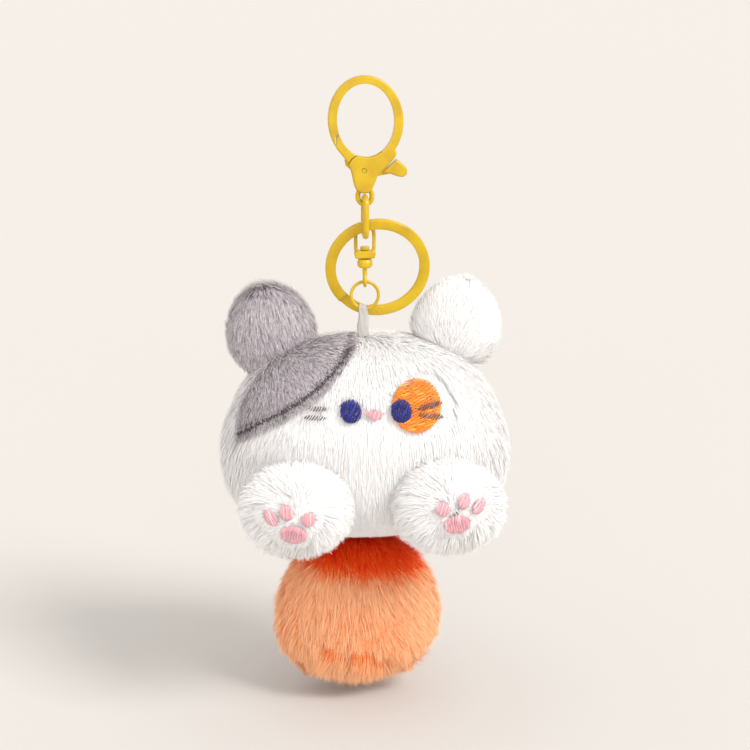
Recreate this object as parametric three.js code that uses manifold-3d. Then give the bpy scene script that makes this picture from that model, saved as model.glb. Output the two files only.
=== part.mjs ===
// Plush cat keychain: a lobster clasp, a short chain with a split ring and a swivel,
// and a stuffed cat on a ribbon.
// Millimetres, +Z up. The origin is the inner top of the clasp's bow, where the keychain hangs.
// The cat's face looks along -Y.

import * as THREE from "three";
import { mergeVertices } from "three/addons/utils/BufferGeometryUtils.js";
import Module from "manifold-3d";

const wasm = await Module();
wasm.setup();

// ---- driving dimensions ----

const GAP = 0.3;

const CLASP = {
  thickness: 3.2,
  bevel: 0.35,
  bowCentre: [0.2, -10.5],
  bowInner: [8.2, 10.5],
  bowOuter: [10.75, 12.8],
  bowTilt: THREE.MathUtils.degToRad(4),
  pivot: [-0.3, -24.7],
  partingRadius: 5.0,
  slotHalf: 0.95,
  eyeZ: -32.15,
};

const GATE = {
  webFront: -0.75,
  webBack: 0.15,
  pinRadius: 0.6,
};

const LINK = { y: -0.3, z: -38.0, halfWidth: 4.0, halfLength: 5.45, wire: 0.95, squareness: 4 };

const SPLIT_RING = {
  x: 3.8,
  y: -1.25,
  z: -53.7,
  innerRadius: 12.2,
  outerRadius: 15.2,
  coil: 0.7,
  pitch: 0.8,
  start: 3.9,
  ramp: 0.5,
  endGap: 0.15,
  steps: 72,
  tilt: THREE.MathUtils.degToRad(13.5),
};

const CHAIN_Y = 0.65;

const BAIL = { halfWidth: 2.65, topZ: -41.55, plateTop: -48.0, plateBottom: -50.3, wire: 0.55 };

const SWIVEL = {
  shank: 0.7,
  headRadius: 1.35,
  collarRadius: 2.2,
  collarTop: -50.6,
  collarBottom: -53.1,
  eyeZ: -56.75,
  eyeRadius: 1.75,
  eyeWire: 0.5,
};

const JUMP_RING = { z: -61.3, radius: 4.0, wire: 0.5 };

const RIBBON = { x: -0.5, width: 3.2, thickness: 0.4, bottom: -73.3 };

const HEAD = {
  y: 2.0,
  z: -103.0,
  half: [39.5, 28.0, 29.0],
  squareness: 0.86,
  widening: 0.1,
};

const PANEL = 1.2;
const EAR = {
  x: 27.2,
  y: 6.0,
  z: -72.5,
  half: [11.5, 5.6, 13.0],
  widening: 0.08,
  lean: THREE.MathUtils.degToRad(14),
};
const PAW = { x: 21.5, y: -29.0, z: -116.5, half: [13.6, 9.5, 11.2] };
const TAIL = { x: -2.4, y: -1.0, z: -153.5, half: [20.5, 12.0, 19.0] };

// ---- materials: one per piece ----

const metal = (colour) => new THREE.MeshStandardMaterial({ color: colour, roughness: 0.35, metalness: 0.5 });
const cloth = (colour) => new THREE.MeshStandardMaterial({ color: colour, roughness: 0.95, metalness: 0 });

const YELLOW = 0xe6c012;
const STEEL = 0xb4b4b0;
const WHITE = 0xf4f1ec;
const GREY = 0xa69ca2;
const ORANGE = 0xffac74;
const FILLING = 0xf8f6f0;
const NAVY = 0x141490;
const EMBROIDERY_ORANGE = 0xffa31c;
const PINK = 0xeba0ac;
const THREAD_GREY = 0x6e646a;
const CLEAR_WHITE = 0xefeae6;

// ---- solids ----

// Reshaping a geometry can mirror it, so faces that point inwards are turned over.
function facesPointOut(geometry) {
  const a = new THREE.Vector3();
  const b = new THREE.Vector3();
  const c = new THREE.Vector3();
  let volume = 0;
  for (let i = 0; i < geometry.index.count; i += 3) {
    a.fromBufferAttribute(geometry.attributes.position, geometry.index.getX(i));
    b.fromBufferAttribute(geometry.attributes.position, geometry.index.getX(i + 1));
    c.fromBufferAttribute(geometry.attributes.position, geometry.index.getX(i + 2));
    volume += a.dot(b.cross(c));
  }
  return volume > 0;
}

function toSolid(geometry) {
  const bare = geometry.clone();
  bare.deleteAttribute("normal");
  bare.deleteAttribute("uv");
  const merged = mergeVertices(bare, 1e-4);
  const triangles = new Uint32Array(merged.index.array);
  if (!facesPointOut(merged)) triangles.reverse();
  return new wasm.Manifold(
    new wasm.Mesh({
      numProp: 3,
      vertProperties: new Float32Array(merged.attributes.position.array),
      triVerts: triangles,
    }),
  );
}

function toGeometry(solid) {
  const result = solid.getMesh();
  const geometry = new THREE.BufferGeometry();
  geometry.setAttribute("position", new THREE.BufferAttribute(new Float32Array(result.vertProperties), 3));
  geometry.setIndex(new THREE.BufferAttribute(new Uint32Array(result.triVerts), 1));
  geometry.computeVertexNormals();
  return geometry;
}

function piece(name, solid, material) {
  const mesh = new THREE.Mesh(toGeometry(solid), material);
  mesh.name = name;
  return mesh;
}

// A flat outline in XZ, thickened along Y from front to back.
function plate(shape, front, back, bevel = 0, segments = 12) {
  const geometry = new THREE.ExtrudeGeometry(shape, {
    depth: back - front - 2 * bevel,
    bevelEnabled: bevel > 0,
    bevelThickness: bevel,
    bevelSize: bevel,
    bevelOffset: -bevel,
    bevelSegments: 1,
    curveSegments: segments,
  });
  geometry.translate(0, 0, bevel);
  geometry.rotateX(Math.PI / 2);
  geometry.translate(0, back, 0);
  return toSolid(geometry);
}

function polygon(points) {
  return new THREE.Shape(points.map(([x, z]) => new THREE.Vector2(x, z)));
}

function ellipse(x, z, rx, rz, tilt = 0) {
  const shape = new THREE.Shape();
  shape.absellipse(x, z, rx, rz, 0, 2 * Math.PI, false, tilt);
  return shape;
}

// A smooth closed outline through a few points.
function smoothOutline(points) {
  const closed = points.map(([x, z]) => new THREE.Vector3(x, z, 0));
  const curve = new THREE.CatmullRomCurve3(closed, true, "centripetal");
  const outline = curve.getPoints(points.length * 4).slice(0, -1);
  return new THREE.Shape(outline.map((p) => new THREE.Vector2(p.x, p.y)));
}

// A round wire bent into a closed superellipse in XZ, centred on the origin.
function wireLoop(halfWidth, halfLength, wire, squareness = 2, steps = 32, sides = 8) {
  const geometry = new THREE.TorusGeometry(1, 0.5, sides, steps);
  const place = geometry.attributes.position;
  const uv = geometry.attributes.uv;
  const power = 2 / squareness;
  const bend = (value) => Math.sign(value) * Math.abs(value) ** power;
  for (let i = 0; i < place.count; i++) {
    const turn = 2 * Math.PI * uv.getX(i);
    const round = 2 * Math.PI * uv.getY(i);
    const x = halfWidth * bend(Math.cos(turn));
    const z = halfLength * bend(Math.sin(turn));
    const outward = new THREE.Vector2(
      (Math.sign(x) * Math.abs(x / halfWidth) ** (squareness - 1)) / halfWidth,
      (Math.sign(z) * Math.abs(z / halfLength) ** (squareness - 1)) / halfLength,
    ).normalize();
    const reach = wire * Math.cos(round);
    place.setXYZ(i, x + outward.x * reach, -wire * Math.sin(round), z + outward.y * reach);
  }
  return toSolid(geometry);
}

function rod(radius, from, to, sides = 16) {
  const [x0, y0, z0] = from;
  const start = new THREE.Vector3(x0, y0, z0);
  const end = new THREE.Vector3(...to);
  const along = end.clone().sub(start);
  const geometry = new THREE.CylinderGeometry(radius, radius, along.length(), sides);
  const up = new THREE.Vector3(0, 1, 0);
  const turn = new THREE.Quaternion().setFromUnitVectors(up, along.clone().normalize());
  geometry.applyQuaternion(turn);
  geometry.translate((x0 + end.x) / 2, (y0 + end.y) / 2, (z0 + end.z) / 2);
  return toSolid(geometry);
}

function wireAlong(points, radius, steps, sides = 8) {
  const curve = new THREE.CatmullRomCurve3(points.map((p) => new THREE.Vector3(...p)));
  const section = new THREE.Shape();
  section.absarc(0, 0, radius, 0, 2 * Math.PI);
  const geometry = new THREE.ExtrudeGeometry(section, {
    steps,
    extrudePath: curve,
    bevelEnabled: false,
    curveSegments: sides,
  });
  return toSolid(geometry);
}

function block(low, high) {
  const size = high.map((value, i) => value - low[i]);
  const geometry = new THREE.BoxGeometry(...size);
  geometry.translate(low[0] + size[0] / 2, low[1] + size[1] / 2, low[2] + size[2] / 2);
  return toSolid(geometry);
}

// A stuffed form: a softened box that widens downwards.
function pillow({ half, squareness = 1, widening = 0 }, grow = 0, around = 28, down = 16) {
  const geometry = new THREE.SphereGeometry(1, around, down);
  const place = geometry.attributes.position;
  const soft = (value) => Math.sign(value) * Math.abs(value) ** squareness;
  for (let i = 0; i < place.count; i++) {
    const rise = Math.asin(THREE.MathUtils.clamp(place.getY(i), -1, 1));
    const turn = Math.atan2(place.getZ(i), place.getX(i));
    const level = Math.cos(rise) < 1e-6 ? 0 : soft(Math.cos(rise));
    const wide = level * (1 - widening * Math.sin(rise));
    place.setXYZ(
      i,
      (half[0] + grow) * wide * soft(Math.cos(turn)),
      -(half[1] + grow) * wide * soft(Math.sin(turn)),
      (half[2] + grow) * soft(Math.sin(rise)),
    );
  }
  return toSolid(geometry);
}

const FAR = 200;
const inFrontOf = (y) => block([-FAR, -FAR, -FAR], [FAR, y, FAR]);
const behind = (y) => block([-FAR, y, -FAR], [FAR, FAR, FAR]);

// ---- lobster clasp ----

function claspOutline() {
  const half = CLASP.thickness / 2;
  const [bx, bz] = CLASP.bowCentre;
  const bow = plate(ellipse(bx, bz, ...CLASP.bowOuter, CLASP.bowTilt), -half, half, CLASP.bevel, 20);
  const opening = plate(ellipse(bx, bz, ...CLASP.bowInner, CLASP.bowTilt), -FAR, FAR, 0, 20);
  const base = plate(
    smoothOutline([
      [-8.0, -17.6],
      [-5.2, -22.2],
      [-3.9, -25.4],
      [-2.8, -29.8],
      [-1.4, -31.0],
      [1.2, -31.0],
      [2.3, -29.4],
      [3.9, -26.0],
      [7.0, -22.8],
      [9.0, -19.6],
      [5.0, -16.0],
      [-4.0, -15.6],
    ]),
    -half,
    half,
    CLASP.bevel,
  );
  return bow.add(base).subtract(opening);
}

// The area of the outline that belongs to the gate's arm, up to the lap joint with the bow's tip.
function armArea(grow) {
  const [px, pz] = CLASP.pivot;
  const area = plate(
    polygon([
      [-6.6, -13.2 + grow],
      [-8.2 - grow, -15.4 + grow],
      [-8.2 - grow, -17.2],
      [-12.0 - grow, -22.0],
      [-12.0, -27.0],
      [px, pz],
      [-0.5, -19.0],
    ]),
    -FAR,
    FAR,
  );
  const radius = CLASP.partingRadius - grow;
  const hub = plate(ellipse(px, pz, radius, radius), -FAR, FAR, 0, 16);
  return area.subtract(hub);
}

// The side of the diagonal parting line where the thumb tab lies.
function thumbArea(step) {
  return plate(
    polygon([
      [3.4 + step, -26.4 - step],
      [9.9 + step, -20.4 - step],
      [14.0, -20.4 - step],
      [14.0, -30.0],
      [3.4 + step, -30.0],
    ]),
    -FAR,
    FAR,
  );
}

function claspBody() {
  const [px, pz] = CLASP.pivot;
  const eye = wireLoop(2.05, 2.3, 0.75, 2.2, 24).translate([0, 0, CLASP.eyeZ]);
  const slot = plate(
    polygon([
      [-9.0, -27.4],
      [3.0, -28.6],
      [9.5, -24.6],
      [6.2, -20.6],
      [3.5, -18.0],
      [-9.0, -18.0],
    ]),
    -CLASP.slotHalf,
    CLASP.slotHalf,
  );
  const pinHole = rod(GATE.pinRadius + 0.1, [px, -FAR, pz], [px, FAR, pz]);
  const plain = claspOutline().subtract(armArea(GAP)).subtract(thumbArea(0));
  return plain.subtract(slot).subtract(pinHole).add(eye);
}

function claspGate() {
  const half = CLASP.thickness / 2;
  const [px, pz] = CLASP.pivot;
  const arm = claspOutline().intersect(armArea(0));
  const thumb = plate(
    smoothOutline([
      [8.4, -21.3],
      [9.5, -21.9],
      [10.9, -23.0],
      [12.0, -24.4],
      [11.9, -25.8],
      [10.8, -26.6],
      [9.0, -26.3],
      [7.0, -25.6],
      [5.2, -25.4],
      [3.0, -24.6],
      [6.0, -21.6],
    ]),
    -half,
    half,
    CLASP.bevel,
  ).intersect(thumbArea(0.22));
  const web = plate(
    polygon([
      [-5.9, -21.6],
      [-1.0, -22.5],
      [1.6, -23.2],
      [7.0, -24.2],
      [7.2, -25.7],
      [1.0, -26.8],
      [-1.6, -26.6],
      [-5.6, -23.2],
    ]),
    GATE.webFront,
    GATE.webBack,
  );
  const pinHole = rod(GATE.pinRadius + 0.1, [px, -FAR, pz], [px, FAR, pz]);
  return arm.add(thumb).add(web).subtract(pinHole);
}

function gateSpring() {
  const [px, pz] = CLASP.pivot;
  const coil = 1.25;
  const y = 0.55;
  const points = [[-4.1, y, -22.7]];
  for (let step = 0; step <= 6; step++) {
    const turn = THREE.MathUtils.degToRad(110 - step * 40);
    points.push([px + coil * Math.cos(turn), y, pz + coil * Math.sin(turn)]);
  }
  points.push([-2.9, y, -26.3]);
  return wireAlong(points, 0.18, 20, 3);
}

function clasp() {
  const half = CLASP.thickness / 2;
  const [px, pz] = CLASP.pivot;
  const group = new THREE.Group();
  group.add(piece("clasp_body", claspBody(), metal(YELLOW)));
  group.add(piece("clasp_gate", claspGate(), metal(YELLOW)));
  group.add(piece("gate_pin", rod(GATE.pinRadius, [px, -half, pz], [px, half, pz]), metal(YELLOW)));
  group.add(piece("gate_spring", gateSpring(), metal(STEEL)));
  return group;
}

// ---- chain ----

// A flat strip wound twice, with one step up from the first coil to the second.
function splitRing() {
  const { innerRadius, outerRadius, coil, pitch, start, ramp, endGap, steps } = SPLIT_RING;
  const sweep = 4 * Math.PI - ramp - endGap;
  const geometry = new THREE.BoxGeometry(1, outerRadius - innerRadius, coil, steps, 1, 1);
  const place = geometry.attributes.position;
  for (let i = 0; i < place.count; i++) {
    const along = (place.getX(i) + 0.5) * sweep;
    const radius = (innerRadius + outerRadius) / 2 + place.getY(i);
    const climb = THREE.MathUtils.smoothstep(along, 2 * Math.PI - ramp, 2 * Math.PI);
    const turn = start - along;
    place.setXYZ(
      i,
      radius * Math.cos(turn),
      place.getZ(i) + (climb - 0.5) * pitch,
      radius * Math.sin(turn),
    );
  }
  return toSolid(geometry);
}

function swivelBail() {
  const { halfWidth, topZ, plateTop, plateBottom, wire } = BAIL;
  const bottom = (plateTop + plateBottom) / 2;
  const middle = (topZ + bottom) / 2;
  const frame = wireLoop(halfWidth, topZ - middle, wire, 5, 36).translate([0, 0, middle]);
  const foot = plate(
    polygon([
      [-3.2, bottom + 0.4],
      [-2.4, plateTop],
      [2.4, plateTop],
      [3.2, bottom + 0.4],
      [2.7, plateBottom],
      [-2.7, plateBottom],
    ]),
    -1.5,
    1.5,
    0.3,
  );
  const hole = rod(SWIVEL.shank + 0.15, [0, 0, -70], [0, 0, plateTop + 3]);
  return frame.add(foot).subtract(hole);
}

function swivelEye() {
  const { shank, headRadius, eyeZ, eyeRadius, eyeWire, collarBottom } = SWIVEL;
  const head = rod(headRadius, [0, 0, BAIL.plateTop + 0.2], [0, 0, BAIL.plateTop + 1.1]);
  const stem = rod(shank, [0, 0, BAIL.plateTop + 0.4], [0, 0, eyeZ + eyeRadius]);
  const eye = wireLoop(eyeRadius, eyeRadius, eyeWire, 2, 24).rotate([0, 0, 90]).translate([0, 0, eyeZ]);
  const neck = rod(shank, [0, 0, collarBottom], [0, 0, eyeZ + eyeRadius - 0.3]);
  return head.add(stem).add(neck).add(eye);
}

function swivelCollar() {
  const { collarRadius, collarTop, collarBottom, shank } = SWIVEL;
  const bore = shank + 0.1;
  const profile = [
    [bore, collarBottom],
    [collarRadius - 0.5, collarBottom],
    [collarRadius, collarBottom + 0.6],
    [collarRadius + 0.1, collarTop - 0.9],
    [collarRadius - 0.3, collarTop],
    [bore, collarTop],
    [bore, collarBottom],
  ].map(([r, z]) => new THREE.Vector2(r, z));
  const geometry = new THREE.LatheGeometry(profile, 24);
  geometry.rotateX(Math.PI / 2);
  return toSolid(geometry);
}

// A flat ribbon folded over the jump ring, seen edge-on as a drop with a round top.
function ribbonLoop() {
  const { width, thickness, bottom } = RIBBON;
  const top = JUMP_RING.z - JUMP_RING.radius + 0.5;
  const drop = (radius, foot) => {
    const shape = new THREE.Shape();
    shape.moveTo(-radius * 0.45, foot);
    shape.lineTo(-radius, top);
    shape.absarc(0, top, radius, Math.PI, 0, true);
    shape.lineTo(radius * 0.45, foot);
    shape.closePath();
    return shape;
  };
  const outer = drop(JUMP_RING.wire + 0.2 + thickness, bottom);
  const inner = drop(JUMP_RING.wire + 0.2, bottom + 1.2);
  const solid = (shape) => {
    const settings = { depth: width, bevelEnabled: false, curveSegments: 10 };
    const geometry = new THREE.ExtrudeGeometry(shape, settings);
    geometry.rotateX(Math.PI / 2);
    geometry.rotateZ(Math.PI / 2);
    geometry.translate(-width / 2, 0, 0);
    return toSolid(geometry);
  };
  return solid(outer).subtract(solid(inner));
}

function chain() {
  const group = new THREE.Group();
  const link = wireLoop(LINK.halfWidth, LINK.halfLength, LINK.wire, LINK.squareness, 40, 10);
  const linkMesh = piece("chain_link", link, metal(YELLOW));
  linkMesh.rotation.z = Math.PI / 2;
  linkMesh.position.set(0, LINK.y, LINK.z);
  group.add(linkMesh);

  const ringMesh = piece("split_ring", splitRing(), metal(YELLOW));
  ringMesh.rotation.x = SPLIT_RING.tilt;
  const lever = SPLIT_RING.innerRadius;
  ringMesh.position.set(
    SPLIT_RING.x,
    SPLIT_RING.y + lever * Math.sin(SPLIT_RING.tilt),
    SPLIT_RING.z + lever * (1 - Math.cos(SPLIT_RING.tilt)),
  );
  group.add(ringMesh);

  const lower = new THREE.Group();
  lower.position.y = CHAIN_Y;
  lower.add(piece("swivel_bail", swivelBail(), metal(YELLOW)));
  lower.add(piece("swivel_eye", swivelEye(), metal(YELLOW)));
  lower.add(piece("swivel_collar", swivelCollar(), metal(YELLOW)));
  const jump = wireLoop(JUMP_RING.radius, JUMP_RING.radius, JUMP_RING.wire, 2, 40, 8);
  const jumpMesh = piece("jump_ring", jump, metal(YELLOW));
  jumpMesh.position.z = JUMP_RING.z;
  lower.add(jumpMesh);
  const ribbonMesh = piece("ribbon_loop", ribbonLoop(), cloth(CLEAR_WHITE));
  ribbonMesh.position.x = RIBBON.x;
  lower.add(ribbonMesh);
  group.add(lower);
  return group;
}

// ---- cat ----

const headForm = (grow, around = 28, down = 16) =>
  pillow(HEAD, grow, around, down).translate([0, HEAD.y, HEAD.z]);

function sideForm(spec, side, grow, lean = 0, around = 16, down = 10) {
  return pillow(spec, grow, around, down)
    .rotate([0, side * THREE.MathUtils.radToDeg(lean), 0])
    .translate([side * spec.x, spec.y, spec.z]);
}

// The front and back halves of a stuffed form's cover, open at the seam where they meet.
function coverHalves(form, seamY, thickness = PANEL) {
  const cover = form(0).subtract(form(-thickness));
  return {
    front: cover.intersect(inFrontOf(seamY - GAP / 2)),
    back: cover.intersect(behind(seamY + GAP / 2)),
  };
}

function head() {
  const group = new THREE.Group();
  const cover = coverHalves(headForm, HEAD.y);
  group.add(piece("head_front_panel", cover.front, cloth(WHITE)));
  group.add(piece("head_back_panel", cover.back, cloth(WHITE)));
  group.add(piece("head_stuffing", headForm(-PANEL - 2 * GAP, 20, 12), cloth(FILLING)));
  return group;
}

// A flat shape laid over the front of the head, following its curve.
function onFace(shape, low, high) {
  const skin = headForm(high).subtract(headForm(low)).intersect(inFrontOf(HEAD.y - 8));
  return skin.intersect(plate(shape, -FAR, FAR, 0, 6));
}

const PATCH_EDGE = [
  [-45.0, -101.5],
  [-39.0, -99.5],
  [-31.7, -94.1],
  [-24.0, -89.7],
  [-18.1, -85.9],
  [-13.0, -82.0],
  [-7.8, -77.0],
  [-4.2, -73.2],
  [-3.6, -66.0],
];

function greyPatch() {
  const shape = polygon([...PATCH_EDGE, [-45.0, -66.0]]);
  const low = GAP;
  const high = GAP + 0.9;
  const skin = headForm(high).subtract(headForm(low)).intersect(inFrontOf(HEAD.y - 1.0));
  return skin.intersect(plate(shape, -FAR, FAR));
}

// The stitched cord of thread that runs along the patch's lower edge.
function patchStitching() {
  const outside = polygon([...PATCH_EDGE, [-45.0, -66.0]].map(([x, z]) => [x + 0.6, z - 0.8]));
  const inside = polygon([...PATCH_EDGE, [-60.0, -60.0]].map(([x, z]) => [x + 0.2, z - 0.27]));
  const skin = headForm(1.3).subtract(headForm(GAP)).intersect(inFrontOf(HEAD.y - 4.0));
  const band = skin.intersect(plate(outside, -FAR, FAR)).subtract(plate(inside, -FAR, FAR));
  return band.subtract(block([-60, -FAR, -60], [60, FAR, -40]));
}

function leaf(from, to, width) {
  const [x0, z0] = from;
  const [x1, z1] = to;
  const length = Math.hypot(x1 - x0, z1 - z0);
  const nx = (-(z1 - z0) / length) * (width / 2);
  const nz = ((x1 - x0) / length) * (width / 2);
  const at = (t, side) => [x0 + (x1 - x0) * t + side * nx, z0 + (z1 - z0) * t + side * nz];
  const lower = [at(0.25, -0.8), at(0.6, -1), at(0.92, -0.8)];
  const upper = [at(0.92, 0.8), at(0.6, 1), at(0.25, 0.8)];
  return polygon([from, ...lower, to, ...upper]);
}

const SKIN_LOW = GAP;
const SKIN_HIGH = 1.5;
const EYE = { left: [-5.9, -89.4], right: [8.4, -89.5], half: [3.0, 3.15] };
const EYE_PATCH = { centre: [12.9, -88.7], half: [7.2, 7.0] };

function face() {
  const group = new THREE.Group();
  const leftEye = ellipse(...EYE.left, ...EYE.half);
  const rightEye = ellipse(...EYE.right, ...EYE.half);
  const rightEyeClear = plate(ellipse(...EYE.right, EYE.half[0] + GAP, EYE.half[1] + GAP), -FAR, FAR);
  const nose = smoothOutline([
    [-2.3, -89.6],
    [0.5, -89.0],
    [3.4, -89.8],
    [2.5, -91.3],
    [0.6, -92.1],
    [-0.8, -91.2],
  ]);
  const rightWhiskers = [
    ["whisker_right_upper", leaf([13.4, -89.2], [20.2, -88.0], 1.7)],
    ["whisker_right_lower", leaf([13.4, -90.8], [20.5, -91.8], 1.7)],
  ];
  const leftWhiskers = [
    ["whisker_left_upper", leaf([-12.4, -88.7], [-17.8, -88.9], 1.4)],
    ["whisker_left_lower", leaf([-13.0, -91.2], [-18.9, -91.3], 1.5)],
  ];
  let eyePatch = onFace(ellipse(...EYE_PATCH.centre, ...EYE_PATCH.half), SKIN_LOW, SKIN_HIGH - 0.4);
  eyePatch = eyePatch.subtract(rightEyeClear);
  group.add(piece("eye_left", onFace(leftEye, SKIN_LOW, SKIN_HIGH), cloth(NAVY)));
  group.add(piece("eye_right", onFace(rightEye, SKIN_LOW, SKIN_HIGH), cloth(NAVY)));
  group.add(piece("nose", onFace(nose, SKIN_LOW, SKIN_HIGH), cloth(PINK)));
  group.add(piece("eye_patch", eyePatch, cloth(EMBROIDERY_ORANGE)));
  const patchTop = SKIN_HIGH - 0.4 + GAP;
  for (const [name, shape] of rightWhiskers) {
    group.add(piece(name, onFace(shape, patchTop, patchTop + 0.8), cloth(THREAD_GREY)));
  }
  for (const [name, shape] of leftWhiskers) {
    group.add(piece(name, onFace(shape, SKIN_LOW, SKIN_HIGH), cloth(THREAD_GREY)));
  }
  return group;
}

const SIDES = [
  ["left", -1],
  ["right", 1],
];

function ears() {
  const group = new THREE.Group();
  const clearance = headForm(GAP + 1.2);
  for (const [name, side] of SIDES) {
    const form = (grow) => sideForm(EAR, side, grow, EAR.lean);
    const colour = side < 0 ? GREY : WHITE;
    const cover = coverHalves(form, EAR.y, 1.0);
    group.add(piece(`ear_${name}_front`, cover.front.subtract(clearance), cloth(colour)));
    group.add(piece(`ear_${name}_back`, cover.back.subtract(clearance), cloth(colour)));
    const filling = sideForm(EAR, side, -1.0 - GAP, EAR.lean, 14, 10).subtract(clearance);
    group.add(piece(`ear_${name}_stuffing`, filling, cloth(FILLING)));
  }
  return group;
}

// Toe pads and the palm pad, as [x, z, half width, half height, turn], for the right paw's outward side.
const PADS = {
  palm: [1.3, -3.0, 3.7, 2.9, 12],
  toe_inner: [-2.8, 1.5, 1.9, 2.1, -8],
  toe_middle: [3.3, 3.6, 1.7, 2.3, -14],
  toe_outer: [7.6, 1.9, 1.6, 2.5, -36],
};
// The paws are sewn on at slightly different turns, so the pads sit lower on one than on the other.
const PAD_DROP = { left: 1.0, right: -1.0 };

function paws() {
  const group = new THREE.Group();
  const clearance = headForm(GAP);
  for (const [name, side] of SIDES) {
    const form = (grow) => sideForm(PAW, side, grow, 0);
    const seam = PAW.y - 1.5;
    const cover = coverHalves(form, seam);
    group.add(piece(`paw_${name}_sole`, cover.front, cloth(WHITE)));
    group.add(piece(`paw_${name}_cover`, cover.back.subtract(clearance), cloth(WHITE)));
    const filling = sideForm(PAW, side, -PANEL - GAP, 0, 14, 10).subtract(clearance);
    group.add(piece(`paw_${name}_stuffing`, filling, cloth(FILLING)));
    const skin = form(SKIN_HIGH).subtract(form(SKIN_LOW)).intersect(inFrontOf(PAW.y - 3));
    for (const [pad, [x, z, rx, rz, turn]] of Object.entries(PADS)) {
      const centreZ = PAW.z + z - PAD_DROP[name];
      const outline = ellipse(side * (PAW.x + x), centreZ, rx, rz, side * THREE.MathUtils.degToRad(turn));
      const solid = skin.intersect(plate(outline, -FAR, FAR, 0, 5));
      group.add(piece(`paw_${name}_${pad}`, solid, cloth(PINK)));
    }
  }
  return group;
}

function tail() {
  const group = new THREE.Group();
  const clearance = headForm(1.6);
  // The neck under the body draws in to a soft seam.
  const form = (grow, around = 20, down = 14) =>
    pillow({ half: TAIL.half, squareness: 0.95, widening: 0.22 }, grow, around, down).translate([
      TAIL.x,
      TAIL.y,
      TAIL.z,
    ]);
  const cover = coverHalves(form, TAIL.y);
  group.add(piece("tail_front_panel", cover.front.subtract(clearance), cloth(ORANGE)));
  group.add(piece("tail_back_panel", cover.back.subtract(clearance), cloth(ORANGE)));
  group.add(piece("tail_stuffing", form(-PANEL - GAP, 16, 10).subtract(clearance), cloth(FILLING)));
  return group;
}

const keychain = new THREE.Group();
keychain.add(clasp());
keychain.add(chain());
const cat = new THREE.Group();
cat.add(head());
cat.add(piece("grey_patch", greyPatch(), cloth(GREY)));
cat.add(piece("patch_stitching", patchStitching(), cloth(THREAD_GREY)));
cat.add(face());
cat.add(ears());
cat.add(paws());
cat.add(tail());
keychain.add(cat);

export default keychain;
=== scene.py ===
"""Looks of the plush cat keychain: smooth cast hardware, strands of fur and embroidery made of threads."""

import math

import bmesh
import bpy
import numpy as np
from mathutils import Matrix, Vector
from mathutils.kdtree import KDTree


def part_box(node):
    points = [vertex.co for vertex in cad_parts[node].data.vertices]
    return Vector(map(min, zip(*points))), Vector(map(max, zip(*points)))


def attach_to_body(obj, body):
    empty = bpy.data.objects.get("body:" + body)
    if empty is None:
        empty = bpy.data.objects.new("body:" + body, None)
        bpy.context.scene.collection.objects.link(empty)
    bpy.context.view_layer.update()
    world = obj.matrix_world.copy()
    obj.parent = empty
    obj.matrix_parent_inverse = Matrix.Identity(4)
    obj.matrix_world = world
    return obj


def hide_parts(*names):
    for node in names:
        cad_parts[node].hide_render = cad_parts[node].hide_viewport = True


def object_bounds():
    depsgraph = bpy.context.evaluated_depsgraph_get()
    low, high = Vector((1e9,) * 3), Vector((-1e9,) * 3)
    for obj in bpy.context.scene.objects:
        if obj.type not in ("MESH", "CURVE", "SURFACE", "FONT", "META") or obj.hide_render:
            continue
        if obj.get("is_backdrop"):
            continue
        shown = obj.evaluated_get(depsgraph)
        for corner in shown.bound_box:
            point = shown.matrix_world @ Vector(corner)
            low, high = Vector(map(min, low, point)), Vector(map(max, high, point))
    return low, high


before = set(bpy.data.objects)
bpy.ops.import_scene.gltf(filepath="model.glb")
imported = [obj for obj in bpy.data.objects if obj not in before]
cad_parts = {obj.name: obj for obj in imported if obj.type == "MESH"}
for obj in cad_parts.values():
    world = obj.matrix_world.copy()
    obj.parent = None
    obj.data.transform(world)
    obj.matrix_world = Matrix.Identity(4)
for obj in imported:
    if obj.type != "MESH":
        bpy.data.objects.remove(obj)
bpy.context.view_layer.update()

MM = 0.001
ROOT_GAP = 0.05
STRANDS_PER_PIECE = 38000
STRAND_BEND = 0.7
rng = np.random.default_rng(7)


# ---- materials ----

def new_material(name, colour, roughness=0.8, metallic=0.0):
    """A Principled material with its plain values on the shader's own sockets."""
    material = bpy.data.materials.new(name)
    material.use_nodes = True
    shader = material.node_tree.nodes["Principled BSDF"]
    shader.inputs["Base Color"].default_value = (*colour, 1)
    shader.inputs["Roughness"].default_value = roughness
    shader.inputs["Metallic"].default_value = metallic
    material.diffuse_color = (*colour, 1)
    return material, material.node_tree, shader


def object_coordinates(tree):
    return tree.nodes.new("ShaderNodeTexCoord").outputs["Object"]


def noise(tree, scale, detail=3.0, stretch=(1, 1, 1)):
    mapping = tree.nodes.new("ShaderNodeMapping")
    mapping.inputs["Scale"].default_value = stretch
    texture = tree.nodes.new("ShaderNodeTexNoise")
    texture.inputs["Scale"].default_value = scale
    texture.inputs["Detail"].default_value = detail
    tree.links.new(object_coordinates(tree), mapping.inputs["Vector"])
    tree.links.new(mapping.outputs["Vector"], texture.inputs["Vector"])
    return texture.outputs["Fac"]


def ramp(tree, value, stops):
    node = tree.nodes.new("ShaderNodeValToRGB")
    node.color_ramp.elements[0].position = stops[0][0]
    node.color_ramp.elements[0].color = (*stops[0][1], 1)
    node.color_ramp.elements[1].position = stops[-1][0]
    node.color_ramp.elements[1].color = (*stops[-1][1], 1)
    for place, colour in stops[1:-1]:
        node.color_ramp.elements.new(place).color = (*colour, 1)
    tree.links.new(value, node.inputs["Fac"])
    return node.outputs["Color"]


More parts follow.
